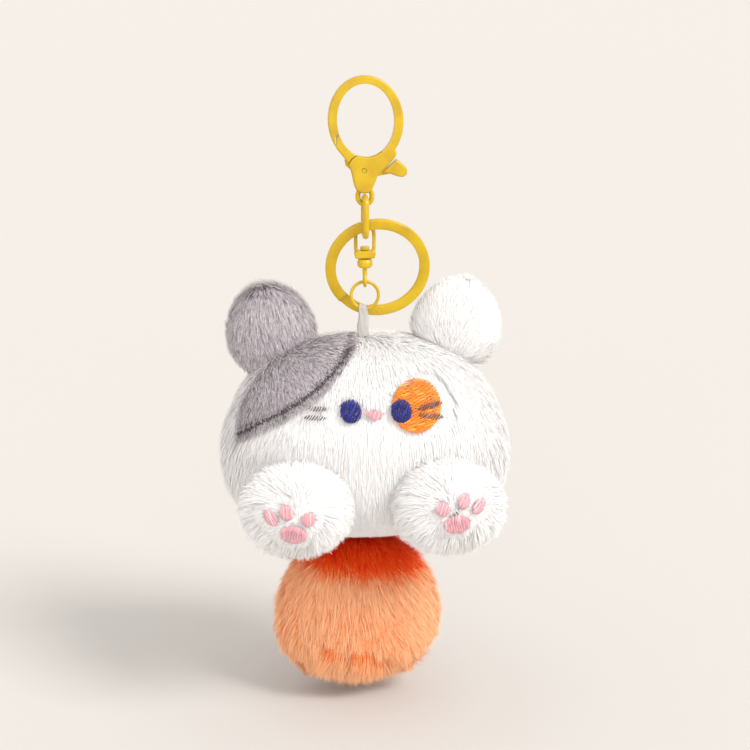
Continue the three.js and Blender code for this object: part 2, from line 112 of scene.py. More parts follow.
def bump(tree, shader, height, strength, distance):
    node = tree.nodes.new("ShaderNodeBump")
    node.inputs["Strength"].default_value = strength
    node.inputs["Distance"].default_value = distance
    tree.links.new(height, node.inputs["Height"])
    tree.links.new(node.outputs["Normal"], shader.inputs["Normal"])


def painted_metal():
    """Thick yellow paint on cast metal: glossy, a little orange peel, thinner and darker in patches."""
    material, tree, shader = new_material("yellow_paint", (0.64, 0.42, 0.002), 0.26)
    patches = noise(tree, 160, 4)
    thin, usual, thick = (0.50, 0.30, 0.001), (0.60, 0.39, 0.001), (0.68, 0.46, 0.003)
    colour = ramp(tree, patches, [(0.3, thin), (0.55, usual), (0.8, thick)])
    tree.links.new(colour, shader.inputs["Base Color"])
    shader.inputs["Coat Weight"].default_value = 0.25
    shader.inputs["Coat Roughness"].default_value = 0.12
    shader.inputs["Specular IOR Level"].default_value = 0.4
    worn = tree.nodes.new("ShaderNodeMapRange")
    worn.inputs["To Min"].default_value = 0.2
    worn.inputs["To Max"].default_value = 0.42
    tree.links.new(noise(tree, 420, 5), worn.inputs["Value"])
    tree.links.new(worn.outputs["Result"], shader.inputs["Roughness"])
    bump(tree, shader, noise(tree, 900, 2), 0.12, 0.0002)
    return material


def spring_steel():
    material, tree, shader = new_material("spring_steel", (0.6, 0.6, 0.58), 0.32, 1.0)
    bump(tree, shader, noise(tree, 1500, 2, (1, 1, 8)), 0.2, 0.0001)
    return material


def backing_cloth(name, dark, light):
    """The knitted backing that the pile grows from, with its rows of loops."""
    material, tree, shader = new_material(name, light, 0.95)
    tree.links.new(ramp(tree, noise(tree, 300, 4), [(0.3, dark), (0.7, light)]), shader.inputs["Base Color"])
    shader.inputs["Sheen Weight"].default_value = 0.5
    shader.inputs["Sheen Roughness"].default_value = 0.6
    weave = tree.nodes.new("ShaderNodeTexWave")
    weave.inputs["Scale"].default_value = 700
    weave.inputs["Distortion"].default_value = 2.0
    tree.links.new(object_coordinates(tree), weave.inputs["Vector"])
    bump(tree, shader, weave.outputs["Fac"], 0.5, 0.0003)
    return material


def fibre(name, colour, sheen=0.35):
    """One shade of pile: soft and matt."""
    material, _, shader = new_material(name, colour, 0.62)
    shader.inputs["Specular IOR Level"].default_value = 0.25
    shader.inputs["Sheen Weight"].default_value = sheen
    shader.inputs["Sheen Roughness"].default_value = 0.45
    shader.inputs["Sheen Tint"].default_value = (1, 1, 1, 1)
    return material


def thread(name, colour):
    """Shiny embroidery thread, one shade of it."""
    material, _, shader = new_material(name, colour, 0.38)
    shader.inputs["Specular IOR Level"].default_value = 0.5
    shader.inputs["Sheen Weight"].default_value = 0.4
    shader.inputs["Sheen Roughness"].default_value = 0.3
    shader.inputs["Anisotropic"].default_value = 0.5
    return material


def ribbon_material():
    material, tree, shader = new_material("clear_ribbon", (0.86, 0.84, 0.82), 0.35)
    shader.inputs["Transmission Weight"].default_value = 0.55
    shader.inputs["Sheen Weight"].default_value = 0.3
    weave = tree.nodes.new("ShaderNodeTexWave")
    weave.bands_direction = "X"
    weave.inputs["Scale"].default_value = 1400
    tree.links.new(object_coordinates(tree), weave.inputs["Vector"])
    bump(tree, shader, weave.outputs["Fac"], 0.4, 0.0002)
    return material


YELLOW = painted_metal()
STEEL = spring_steel()
WHITE_CLOTH = backing_cloth("white_backing", (0.84, 0.81, 0.79), (0.95, 0.93, 0.92))
GREY_CLOTH = backing_cloth("grey_backing", (0.22, 0.19, 0.21), (0.40, 0.36, 0.39))
ORANGE_CLOTH = backing_cloth("orange_backing", (0.90, 0.16, 0.03), (1.0, 0.33, 0.12))
FILLING = backing_cloth("fibre_filling", (0.80, 0.79, 0.76), (0.92, 0.91, 0.88))
RIBBON = ribbon_material()

WHITE_PILE = [
    fibre("white_pile_shade", (0.82, 0.79, 0.785)),
    fibre("white_pile", (0.88, 0.86, 0.86)),
    fibre("white_pile_light", (0.92, 0.905, 0.905)),
    fibre("white_pile_tip", (0.95, 0.94, 0.94)),
]
GREY_PILE = [
    fibre("grey_pile_deep", (0.17, 0.14, 0.165), 0.2),
    fibre("grey_pile_shade", (0.38, 0.34, 0.37)),
    fibre("grey_pile", (0.55, 0.50, 0.535)),
    fibre("grey_pile_tip", (0.72, 0.67, 0.70)),
]
TAIL_PILE = [
    # The red and deep orange tones are painted shade: under the body, in the crease and at the strands'
    # roots.
    fibre("tail_pile_red_painted_shade", (1.0, 0.02, 0.0), 0.0),
    fibre("tail_pile_deep_painted_shade", (1.0, 0.10, 0.004), 0.0),
    fibre("tail_pile_orange", (1.0, 0.28, 0.08), 0.05),
    fibre("tail_pile_peach", (1.0, 0.43, 0.19), 0.05),
    fibre("tail_pile_light", (1.0, 0.54, 0.29), 0.08),
]
NAVY = [
    thread("navy_dark", (0.003, 0.005, 0.12)),
    thread("navy", (0.006, 0.010, 0.25)),
    thread("navy_light", (0.05, 0.06, 0.48)),
]
ORANGE = [
    thread("orange_deep", (0.86, 0.22, 0.004)),
    thread("orange", (1.0, 0.33, 0.008)),
    thread("orange_light", (1.0, 0.50, 0.06)),
]
PINK = [
    thread("pink_deep", (0.72, 0.36, 0.41)),
    thread("pink", (0.82, 0.47, 0.51)),
    thread("pink_light", (0.92, 0.66, 0.69)),
]
SEAM_THREAD = [
    thread("seam_dark", (0.03, 0.024, 0.03)),
    thread("seam", (0.06, 0.05, 0.06)),
]
GREY_THREAD = [
    thread("grey_dark", (0.07, 0.055, 0.065)),
    thread("grey_mid", (0.14, 0.115, 0.13)),
    thread("grey_light", (0.25, 0.22, 0.24)),
]


# ---- meshes ----

def mesh_object(name, points, faces, materials, indices=None, normals=None, smooth=True):
    """A mesh from arrays: points in metres and faces as an array of corners, -1 past a triangle's third."""
    mesh = bpy.data.meshes.new(name)
    faces = np.asarray(faces)
    used = faces >= 0
    counts = used.sum(axis=1)
    corners = faces[used].astype(np.int32)
    starts = np.concatenate(([0], np.cumsum(counts)[:-1])).astype(np.int32)
    mesh.vertices.add(len(points))
    mesh.vertices.foreach_set("co", np.asarray(points, np.float32).ravel())
    mesh.loops.add(len(corners))
    mesh.loops.foreach_set("vertex_index", corners)
    mesh.polygons.add(len(faces))
    mesh.polygons.foreach_set("loop_start", starts)
    for material in materials:
        mesh.materials.append(material)
    if indices is not None:
        mesh.polygons.foreach_set("material_index", np.asarray(indices, np.int32))
    mesh.update(calc_edges=True)
    mesh.polygons.foreach_set("use_smooth", np.full(len(faces), smooth))
    if normals is not None:
        mesh.normals_split_custom_set_from_vertices(np.asarray(normals, np.float32))
    obj = bpy.data.objects.new(name, mesh)
    bpy.context.scene.collection.objects.link(obj)
    return obj


def grid_faces(rows, columns, first=0, closed=False):
    """The squares between rows of points, joined round from the last column to the first where closed."""
    faces = []
    for i in range(rows - 1):
        low = first + i * columns
        high = low + columns
        for j in range(columns if closed else columns - 1):
            k = (j + 1) % columns
            faces.append([low + j, low + k, high + k, high + j])
    return faces


def cap_faces(first, sides):
    """A fan of triangles over a ring of points."""
    return [[first, first + j, first + j + 1, -1] for j in range(1, sides - 1)]


def outwards(obj):
    work = bmesh.new()
    work.from_mesh(obj.data)
    bmesh.ops.recalc_face_normals(work, faces=work.faces)
    work.to_mesh(obj.data)
    work.free()


def attach(obj, body, slot, *nodes):
    """Make a piece ride with its body, in place of these CAD nodes. The slot argument is not used."""
    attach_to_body(obj, body)
    if nodes:
        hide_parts(*nodes)


def unit(vectors):
    return vectors / np.maximum(np.linalg.norm(vectors, axis=-1, keepdims=True), 1e-9)


class Pillow:
    """A stuffed form: a softened box that widens downwards, in mm."""

    def __init__(self, centre, half, squareness=1.0, widening=0.0, lean=0.0):
        self.centre = np.array(centre, float)
        self.half = np.array(half, float)
        self.squareness = squareness
        self.widening = widening
        cosine, sine = math.cos(lean), math.sin(lean)
        self.turn = np.array([[cosine, 0, sine], [0, 1, 0], [-sine, 0, cosine]])

    def soft(self, value):
        return np.sign(value) * np.abs(value) ** self.squareness

    def at(self, rise, around, grow=0.0):
        """Points of the surface by height angle and turn, with grow mm added."""
        level = self.soft(np.cos(rise)) * (1 - self.widening * np.sin(rise))
        local = np.stack(
            [
                (self.half[0] + grow) * level * self.soft(np.cos(around)),
                -(self.half[1] + grow) * level * self.soft(np.sin(around)),
                (self.half[2] + grow) * self.soft(np.sin(rise)),
            ],
            axis=-1,
        )
        return local @ self.turn.T + self.centre

    def normal(self, rise, around):
        step = 1e-3
        up = self.at(rise + step, around) - self.at(rise - step, around)
        side = self.at(rise, around + step) - self.at(rise, around - step)
        normal = np.cross(up, side)
        outward = self.at(rise, around) - self.centre
        flip = np.sign((normal * outward).sum(-1, keepdims=True))
        return unit(normal * np.where(flip == 0, 1, flip))

    def front(self, x, z, grow=0.0):
        """How far forward the surface lies at (x, z), for a form that doesn't lean."""
        height = np.clip((z - self.centre[2]) / (self.half[2] + grow), -0.999, 0.999)
        sine = np.sign(height) * np.abs(height) ** (1 / self.squareness)
        level = np.sqrt(1 - sine**2) ** self.squareness * (1 - self.widening * sine)
        across = np.clip(np.abs((x - self.centre[0]) / ((self.half[0] + grow) * level)), 0, 0.999)
        cosine = across ** (1 / self.squareness)
        reach = np.sqrt(1 - cosine**2) ** self.squareness
        return self.centre[1] - (self.half[1] + grow) * level * reach

    def over(self, x, z, rise):
        """Points at (x, z) that stand rise mm off the front surface, square to it."""
        step = 0.05
        base_x, base_z = x, z
        for _ in range(4):
            slope_x = self.front(base_x + step, base_z) - self.front(base_x - step, base_z)
            slope_z = self.front(base_x, base_z + step) - self.front(base_x, base_z - step)
            slope_x, slope_z = slope_x / (2 * step), slope_z / (2 * step)
            outward = unit(np.stack([slope_x, np.full(len(x), -1.0), slope_z], axis=1))
            base_x = x - outward[:, 0] * rise
            base_z = z - outward[:, 2] * rise
        return np.stack([base_x, self.front(base_x, base_z), base_z], axis=1) + outward * rise[:, None]

    def sample(self, count):
        """Points spread evenly over the surface, with their angles."""
        rise = rng.uniform(-math.pi / 2, math.pi / 2, count * 4)
        around = rng.uniform(-math.pi, math.pi, count * 4)
        step = 1e-3
        up = self.at(rise + step, around) - self.at(rise - step, around)
        side = self.at(rise, around + step) - self.at(rise, around - step)
        area = np.linalg.norm(np.cross(up, side), axis=1)
        ceiling = np.quantile(area, 0.995)
        keep = rng.uniform(0, 1, len(area)) < area / ceiling
        rise, around = rise[keep], around[keep]
        return rise[:count], around[:count]

    def plant(self, count):
        """Roots of the pile, just off the surface, and the surface's normals there."""
        rise, around = self.sample(count)
        return self.at(rise, around, ROOT_GAP), self.normal(rise, around)

    def skin(self, name, material, rows, columns):
        rise = np.linspace(-math.pi / 2 + 1e-3, math.pi / 2 - 1e-3, rows)
        around = np.linspace(-math.pi, math.pi, columns, endpoint=False)
        grid_rise, grid_around = np.meshgrid(rise, around, indexing="ij")
        points = self.at(grid_rise.ravel(), grid_around.ravel())
        faces = grid_faces(rows, columns, closed=True)
        bottom = len(points)
        points = np.vstack([points, points[:columns].mean(0), points[-columns:].mean(0)])
        for j in range(columns):
            k = (j + 1) % columns
            faces.append([bottom, k, j, -1])
            faces.append([bottom + 1, (rows - 1) * columns + j, (rows - 1) * columns + k, -1])
        obj = mesh_object(name, points * MM, faces, [material])
        outwards(obj)
        return obj


# ---- fur ----

WAVES = [(rng.normal(0, 1, 3) / 4.0, rng.uniform(0, 6.28), unit(rng.normal(0, 1, 3))) for _ in range(10)]


def drift(points):
    """A slow wander of direction over the cloth, from a sum of waves."""
    total = np.zeros_like(points)
    for wave, phase, way in WAVES:
        total += np.sin(points @ wave + phase)[:, None] * way
    return total / math.sqrt(len(WAVES))


def fur(name, roots, normals, comb, length, shades, palette, body, slot, width=0.24, lift=0.35,
        curl=0.25, clump=0.5, clump_size=2.2, stray=0.14):
    """Tapered, curved strands that lie along comb, gathered towards their clump's middle at the tips."""
    count = len(roots)
    along = unit(comb - normals * (comb * normals).sum(1, keepdims=True))
    wander = drift(roots)
    wander -= normals * (wander * normals).sum(1, keepdims=True)
    along = unit(along + curl * wander + stray * rng.normal(0, 1, (count, 3)))
    size = length * rng.uniform(0.75, 1.12, count)
    up = lift * rng.uniform(0.7, 1.3, count)
    start = unit(normals * (0.45 + up[:, None]) + along)
    finish = unit(normals * (up[:, None] * (1 - STRAND_BEND)) + along)
    finish[:, 2] -= 0.08
    knots = [roots]
    for share in (0.34, 0.33, 0.33):
        mix = len(knots) / 3
        heading = unit(start * (1 - mix) + finish * mix)
        knots.append(knots[-1] + heading * (size * share)[:, None])
    centres = max(8, int(count / (clump_size**2 * 6)))
    chosen = rng.choice(count, centres, replace=False)
    tree = KDTree(centres)
    for place, index in enumerate(chosen):
        tree.insert(roots[index], place)
    tree.balance()
    nearest = chosen[np.array([tree.find(point)[1] for point in roots])]
    for step, pull in ((2, clump * 0.35), (3, clump)):
        own = knots[step] - roots
        shared = knots[step][nearest] - roots
        amount = (pull * rng.uniform(0.5, 1.0, count))[:, None]
        knots[step] = roots + own * (1 - amount) + shared * amount
    flat_side = unit(np.cross(along, normals))
    twist = rng.uniform(-0.5, 0.5, count)[:, None]
    side = unit(flat_side * np.cos(twist) + normals * np.sin(twist))
    half = (width * rng.uniform(0.7, 1.25, count) / 2)[:, None]
    rows = []
    for knot, share in zip(knots[:3], (1.0, 0.95, 0.62)):
        rows.append(knot - side * half * share)
        rows.append(knot + side * half * share)
    rows.append(knots[3])
    points = np.stack(rows, axis=1)
    facing = np.cross(side, unit(knots[3] - knots[0]))
    facing *= np.where((facing * normals).sum(1, keepdims=True) < 0, -1, 1)
    soft = unit(normals + facing * 0.22 + 0.12 * rng.normal(0, 1, (count, 3)))
    parts = max(1, math.ceil(count / STRANDS_PER_PIECE))
    order = np.arange(count) % parts
    for part in range(parts):
        chosen = np.where(order == part)[0]
        number = len(chosen)
        base = (np.arange(number) * 7)[:, None]
        quads_low = base + np.array([0, 1, 3, 2])
        quads_high = base + np.array([2, 3, 5, 4])
        tips = np.hstack([base + np.array([4, 5, 6]), np.full((number, 1), -1)])
        faces = np.stack([quads_low, quads_high, tips], axis=1).reshape(-1, 4)
        # Painted shade: each strand takes one tone darker at its root and one lighter at its tip, for the
        # shade deep in the pile.
        level = np.stack([shades[chosen] - 1, shades[chosen], shades[chosen] + 1], axis=1)
        level = np.clip(level, 0, len(palette) - 1).ravel()
        bent = np.repeat(soft[chosen], 7, axis=0)
        label = f"{name}_{part + 1}" if parts > 1 else name
        obj = mesh_object(label, points[chosen].reshape(-1, 3) * MM, faces, palette, level, bent)
        attach(obj, body, slot)


def shade_by(points, low, high, size=5.0, spread=0.5):
    """A shade number for each strand, varying slowly over the cloth and a little from strand to strand."""
    wave = drift(points * (4.0 / size))[:, 0] * 0.5
    value = (low + high) / 2 + wave * (high - low) * 0.5 + rng.normal(0, spread, len(points))
    return np.clip(np.round(value), low, high).astype(int)


# ---- the cat's forms, as the CAD has them ----

def box_mm(*nodes):
    lows = np.array([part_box(node)[0] for node in nodes]) / MM
    highs = np.array([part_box(node)[1] for node in nodes]) / MM
    return lows.min(0), highs.max(0)


HEAD_LOW, HEAD_HIGH = box_mm("head_front_panel", "head_back_panel")
HEAD_WIDENING = 0.1
HEAD_CENTRE = (HEAD_LOW + HEAD_HIGH) / 2
HEAD_HALF = (HEAD_HIGH - HEAD_LOW) / 2
HEAD_HALF_WIDTH = 39.5
HEAD_SQUARENESS = 0.86
head = Pillow(HEAD_CENTRE, [HEAD_HALF_WIDTH, HEAD_HALF[1], HEAD_HALF[2]], HEAD_SQUARENESS, HEAD_WIDENING)

TAIL_LOW, TAIL_HIGH = box_mm("tail_front_panel", "tail_back_panel")
TAIL_HALF_WIDTH = 20.5
TAIL_HALF_DEPTH = 12.0
TAIL_HALF_HEIGHT = (TAIL_HIGH[2] - TAIL_LOW[2]) / 2
TAIL_HALF = [TAIL_HALF_WIDTH, TAIL_HALF_DEPTH, TAIL_HALF_HEIGHT]
TAIL_SQUARENESS = 0.95
TAIL_WIDENING = 0.22
tail = Pillow((TAIL_LOW + TAIL_HIGH) / 2, TAIL_HALF, TAIL_SQUARENESS, TAIL_WIDENING)

EAR_PLACE = (27.2, 6.0, -72.5)
EAR_HALF = (11.5, 5.6, 13.0)
EAR_WIDENING = 0.08
EAR_LEAN = math.radians(14)
PAW_PLACE = (21.5, -29.0, -116.5)
PAW_HALF = (13.6, 9.5, 11.2)
SIDES = (("left", -1), ("right", 1))
ears = {}
paws = {}
for side_name, side in SIDES:
    ear_centre = [side * EAR_PLACE[0], *EAR_PLACE[1:]]
    ears[side_name] = Pillow(ear_centre, EAR_HALF, widening=EAR_WIDENING, lean=side * EAR_LEAN)
    paws[side_name] = Pillow([side * PAW_PLACE[0], *PAW_PLACE[1:]], PAW_HALF)


def inside(form, points, grow):
    """Which points lie inside a form grown by grow mm."""
    local = (points - form.centre) @ form.turn
    scaled = np.abs(local / (form.half + grow)) ** (2 / form.squareness)
    return scaled.sum(axis=1) < 1


def set_all(nodes, material):
    for node in nodes:
        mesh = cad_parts[node].data
        mesh.materials.clear()
        mesh.materials.append(material)


# ---- hardware: the cast and bent pieces, smoothed ----

def cast(node, body, voxel, rounds=6):
    """A smooth-skinned copy of a CAD piece, as paint leaves it."""
    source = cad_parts[node]
    mesh = source.data.copy()
    obj = bpy.data.objects.new(f"{node}_cast", mesh)
    bpy.context.scene.collection.objects.link(obj)
    work = bmesh.new()
    work.from_mesh(mesh)
    bmesh.ops.remove_doubles(work, verts=work.verts, dist=1e-6)
    work.to_mesh(mesh)
    work.free()
    remesh = obj.modifiers.new("skin", "REMESH")
    remesh.mode = "VOXEL"
    remesh.voxel_size = voxel * MM
    smooth = obj.modifiers.new("paint", "SMOOTH")
    smooth.factor = 0.5
    smooth.iterations = rounds
    evaluated = obj.evaluated_get(bpy.context.evaluated_depsgraph_get())
    done = bpy.data.meshes.new_from_object(evaluated)
    obj.modifiers.clear()
    obj.data = done
    done.materials.clear()
    done.materials.append(YELLOW)
    done.polygons.foreach_set("use_smooth", np.full(len(done.polygons), True))
    attach(obj, body, "yellow_paint", node)


def hardware():
    cast("clasp_body", "clasp", 0.13)
    cast("clasp_gate", "gate", 0.13)
    cast("chain_link", "link", 0.1, 5)
    cast("swivel_bail", "bail", 0.09, 4)
    cast("swivel_eye", "swivel", 0.08, 4)
    cast("swivel_collar", "swivel", 0.08, 4)
    cast("jump_ring", "jump_ring", 0.08, 5)
    set_all(["gate_pin"], YELLOW)
    set_all(["gate_spring"], STEEL)


RING_INNER = 12.2
RING_OUTER = 15.2
RING_COIL = 0.7
RING_PITCH = 0.8
RING_EDGE = 0.22
RING_TILT = math.radians(13.5)
RING_CENTRE = (3.8, -1.25, -53.7)
RING_START = 3.9
RING_STEP_ANGLE = 0.5
RING_END_GAP = 0.15


def strip_section():
    """The strip's outline, as steps outwards and along the ring's axis, with rounded edges."""
    half_width, half_coil = (RING_OUTER - RING_INNER) / 2, RING_COIL / 2
    cuts = [(0, RING_EDGE), (RING_EDGE * 0.4, RING_EDGE * 0.25), (RING_EDGE, 0)]
    section = []
    for out, up in ((-1, -1), (1, -1), (1, 1), (-1, 1)):
        for off_side, off_face in cuts[:: out * up]:
            section.append((out * (half_width - off_side), up * (half_coil - off_face)))
    return section


def split_ring():
    """A flat strip wound twice, with one step between the coils, tilted about the top of its opening."""
    steps = 320
    section = strip_section()
    along = np.linspace(0, 4 * math.pi - RING_STEP_ANGLE - RING_END_GAP, steps)
    climb = np.clip((along - (2 * math.pi - RING_STEP_ANGLE)) / RING_STEP_ANGLE, 0, 1)
    climb = climb**2 * (3 - 2 * climb)
    turn = RING_START - along
    rails = []
    for radial, depth in section:
        radius = (RING_INNER + RING_OUTER) / 2 + radial
        y = depth + (climb - 0.5) * RING_PITCH
        rails.append(np.stack([radius * np.cos(turn), y, radius * np.sin(turn)], axis=1))
    points = np.stack(rails, axis=1).reshape(-1, 3)
    cosine, sine = math.cos(RING_TILT), math.sin(RING_TILT)
    tilt = np.array([[1, 0, 0], [0, cosine, -sine], [0, sine, cosine]])
    shift = np.array([0, RING_INNER * sine, RING_INNER * (1 - cosine)])
    points = points @ tilt.T + RING_CENTRE + shift
    sides = len(section)
    faces = grid_faces(steps, sides, closed=True)
    faces += cap_faces(0, sides) + cap_faces((steps - 1) * sides, sides)
    obj = mesh_object("split_ring_coils", points * MM, faces, [YELLOW])
    outwards(obj)
    attach(obj, "ring", "yellow_paint", "split_ring")


# ---- cat ----

PATCH_EDGE = np.array([
    [-45.0, -101.5], [-39.0, -99.5], [-31.7, -94.1], [-24.0, -89.7], [-18.1, -85.9],
    [-13.0, -82.0], [-7.8, -77.0], [-4.2, -73.2], [-3.6, -66.0],
])


def patch_edge_height(x):
    return np.interp(x, PATCH_EDGE[:, 0], PATCH_EDGE[:, 1])


def above_patch_edge(points, shift=0.0):
    """Which points lie on the grey side of the patch's edge, seen from the front."""
    edge = patch_edge_height(points[:, 0])
    return (points[:, 2] > edge + shift) & (points[:, 0] < PATCH_EDGE[-1, 0])


EYES = {"eye_left": (-5.9, -89.4), "eye_right": (8.4, -89.5)}
EYE_HALF = (3.0, 3.15)
EYE_PATCH_CENTRE = (12.9, -88.7)
EYE_PATCH_HALF = (7.2, 7.0)
NOSE_CENTRE = (0.5, -90.4)
NOSE_HALF = (2.9, 1.5)
NOSE = [(-2.3, -89.6), (0.5, -89.0), (3.4, -89.8), (2.5, -91.3), (0.6, -92.1), (-0.8, -91.2)]
WHISKERS = {
    "whisker_right_upper": ((13.4, -89.2), (20.2, -88.0), 1.7),
    "whisker_right_lower": ((13.4, -90.8), (20.5, -91.8), 1.7),
    "whisker_left_upper": ((-12.4, -88.7), (-17.8, -88.9), 1.4),
    "whisker_left_lower": ((-13.0, -91.2), (-18.9, -91.3), 1.5),
}


def turned(x, z, centre, angle):
    """Places along and across an axis at this angle through centre, seen from the front."""
    along = (x - centre[0]) * math.cos(angle) + (z - centre[1]) * math.sin(angle)
    across = -(x - centre[0]) * math.sin(angle) + (z - centre[1]) * math.cos(angle)
    return along, across


def in_ellipse(x, z, centre, half, angle=0.0):
    along, across = turned(x, z, centre, angle)
    return (along / half[0]) ** 2 + (across / half[1]) ** 2 < 1


def near_embroidery(points, margin):
    x, z = points[:, 0], points[:, 2]
    found = in_ellipse(x, z, EYE_PATCH_CENTRE, np.add(EYE_PATCH_HALF, margin))
    for centre in EYES.values():
        found |= in_ellipse(x, z, centre, np.add(EYE_HALF, margin))
    found |= in_ellipse(x, z, NOSE_CENTRE, np.add(NOSE_HALF, margin))
    for start, end, width in WHISKERS.values():
        run, climb = np.subtract(end, start)
        share = ((x - start[0]) * run + (z - start[1]) * climb) / (run**2 + climb**2)
        share = np.clip(share, 0, 1)
        gap = np.hypot(x - start[0] - share * run, z - start[1] - share * climb)
        found |= gap < width / 2 + margin
    return found


def cover(name, form, material, rows, columns, fill, body, slot, *nodes):
    """The stuffed cloth that the pile grows from, in place of its CAD panels."""
    skin = form.skin(name, material, rows, columns)
    attach(skin, body, slot, *nodes)


FACE_PILE = 5.6
CLOSE_PILE = 2.6
CROWN_PILE = 4.4


def head_pieces():
    panels = ("head_front_panel", "head_back_panel")
    cover("head_cover", head, WHITE_CLOTH, 72, 120, 0.8, "cat", "white_plush", *panels)
    set_all(["head_stuffing"], FILLING)

    roots, normals = head.plant(250000)
    buried = np.zeros(len(roots), bool)
    for side_name, _ in SIDES:
        buried |= inside(ears[side_name], roots, -1.5) | inside(paws[side_name], roots, -1.0)
    front = roots[:, 1] < HEAD_CENTRE[1]
    seam = np.interp(roots[:, 2], [-100.0, -76.0], [-10.5, 1.0])
    grey = above_patch_edge(roots, 0.4) & (roots[:, 1] < seam)
    stub = above_patch_edge(roots, -2.7) & ~grey & (roots[:, 1] < seam)
    stitched = near_embroidery(roots, -0.5) & front
    down = np.tile([0.0, 0.0, -1.0], (len(roots), 1))
    outward = np.stack([roots[:, 0] / 40.0, (roots[:, 1] - 2.0) / 28.0, np.zeros(len(roots))], axis=1)

    white = ~grey & ~stub & ~buried & ~stitched
    place, face = roots[white], normals[white]
    comb = down[white] + 0.3 * outward[white]
    length = np.full(len(place), FACE_PILE)
    close = near_embroidery(place, 2.6) & front[white]
    length[close] = CLOSE_PILE
    crown = place[:, 2] > -78
    length[crown] = CROWN_PILE
    bottom = np.clip((-118 - place[:, 2]) / 10, 0, 1)
    length -= 2.2 * bottom
    comb[:, 1] += 0.3 * bottom
    lift = np.full(len(place), 0.24)
    cheek = np.clip((np.abs(place[:, 0]) - 27) / 9, 0, 1) * np.clip((-92 - place[:, 2]) / 8, 0, 1)
    length += 2.4 * cheek
    lift += 0.3 * cheek
    lift[close] = 0.12
    shades = shade_by(place, 1, 3, 6.0, 0.5)
    fur("head_fur", place, face, comb, length, shades, WHITE_PILE, "cat", "white_plush",
        width=0.21, lift=lift, curl=0.1, clump=0.18, stray=0.07)
    patch_pile(roots, normals, grey & ~buried, stub)


def patch_pile(roots, normals, patch, stub):
    """The grey patch's pile, and the stubby cut pile just below its stitched edge."""
    place, face = roots[patch] + normals[patch] * 0.9, normals[patch]
    comb = np.tile([0.5, -0.15, -0.85], (len(place), 1))
    gap = place[:, 2] - patch_edge_height(place[:, 0])
    length = np.clip(1.2 + gap * 0.75, 1.4, 5.0)
    shades = shade_by(place, 1, 2, 3.0, 0.7)
    fur("grey_patch_fur", place, face, comb, length, shades, GREY_PILE, "cat", "grey_plush",
        width=0.22, lift=0.3, curl=0.3, clump_size=1.9)

    place, face = roots[stub] + normals[stub] * 1.3, normals[stub]
    comb = np.tile([0.5, -0.2, -0.85], (len(place), 1))
    shades = shade_by(place, 0, 2, 2.0, 0.7)
    fur("grey_patch_cut_pile", place, face, comb, 2.5, shades, GREY_PILE, "cat", "grey_plush",
        width=0.2, lift=0.6, curl=0.6, clump=0.3)


def sheet_object(name, rows, material, thickness):
    """A cloth of this thickness in mm, from rows of points."""
    faces = grid_faces(len(rows), len(rows[0]))
    obj = mesh_object(name, np.vstack(rows) * MM, faces, [material])
    thick = obj.modifiers.new("cloth", "SOLIDIFY")
    thick.thickness = thickness * MM
    thick.offset = 0
    return obj


def grey_patch():
    """The appliqué's cloth: a sheet over the head's upper left, from its stitched edge to the side seam."""
    across, deep = 60, 30
    grow = 1.1
    within = 0.999
    first = math.atan2(PATCH_EDGE[1][1] - HEAD_CENTRE[2], PATCH_EDGE[1][0] - HEAD_CENTRE[0]) % (2 * math.pi)
    last = math.atan2(28.5, -4.5)
    share = np.linspace(0, 1, across)
    edge_x = np.interp(share, [0, 0.18, 0.4, 0.6, 0.8, 1.0], [-38.9, -31.0, -23.0, -16.6, -10.4, -4.2])
    edge_z = patch_edge_height(edge_x)
    angle = first + (last - first) * share
    rise = np.arctan2(np.sin(angle) / head.half[2], np.abs(np.cos(angle)) / head.half[0])
    seam = head.at(rise, np.full(across, math.pi), grow)
    top = HEAD_CENTRE[2] + head.half[2] * within
    rows = []
    for row in np.linspace(0, 1, deep):
        x = edge_x * (1 - row) + seam[:, 0] * row * within
        z = np.minimum(edge_z * (1 - row) + seam[:, 2] * row, top)
        rows.append(np.stack([x, head.front(x, z, grow), z], axis=1))
    cloth = sheet_object("grey_patch_cloth", rows, GREY_CLOTH, 0.7)
    attach(cloth, "cat", "grey_plush", "grey_patch")


EAR_PILE = 4.6


def ear_fur(name, roots, normals, comb, grey):
    """The pile on one side of an ear. The grey pile clumps more and its shade changes faster."""
    if grey:
        shades = shade_by(roots, 1, 2, 3.0, 0.7)
        palette, slot, clump = GREY_PILE, "grey_plush", 0.5
    else:
        shades = shade_by(roots, 1, 3, 5.0, 0.7)
        palette, slot, clump = WHITE_PILE, "white_plush", 0.3
    fur(name, roots, normals, comb, EAR_PILE, shades, palette, "cat", slot,
        width=0.21, lift=0.4, curl=0.3, clump=clump, clump_size=2.0)


def ear_pieces():
    for side_name, side in SIDES:
        form = ears[side_name]
        grey = side < 0
        cloth, slot = (GREY_CLOTH, "grey_plush") if grey else (WHITE_CLOTH, "white_plush")
        panels = (f"ear_{side_name}_front", f"ear_{side_name}_back")
        cover(f"ear_{side_name}_cover", form, cloth, 40, 56, 0.5, "cat", slot, *panels)
        set_all([f"ear_{side_name}_stuffing"], FILLING)
        roots, normals = form.plant(24000)
        free = ~inside(head, roots, 0.5)
        roots, normals = roots[free], normals[free]
        upward = form.turn @ np.array([0, 0, 1.0])
        spread = unit(roots - form.centre)
        behind = normals[:, 1] > 0.05
        down = np.tile([0.25, -0.1, -1.0], (len(roots), 1)) + 0.4 * spread
        out = upward * 0.8 + spread * 0.6
        front_comb = down if grey else out
        ear_fur(f"{panels[0]}_fur", roots[~behind], normals[~behind], front_comb[~behind], grey)
        ear_fur(f"{panels[1]}_fur", roots[behind], normals[behind], out[behind], False)


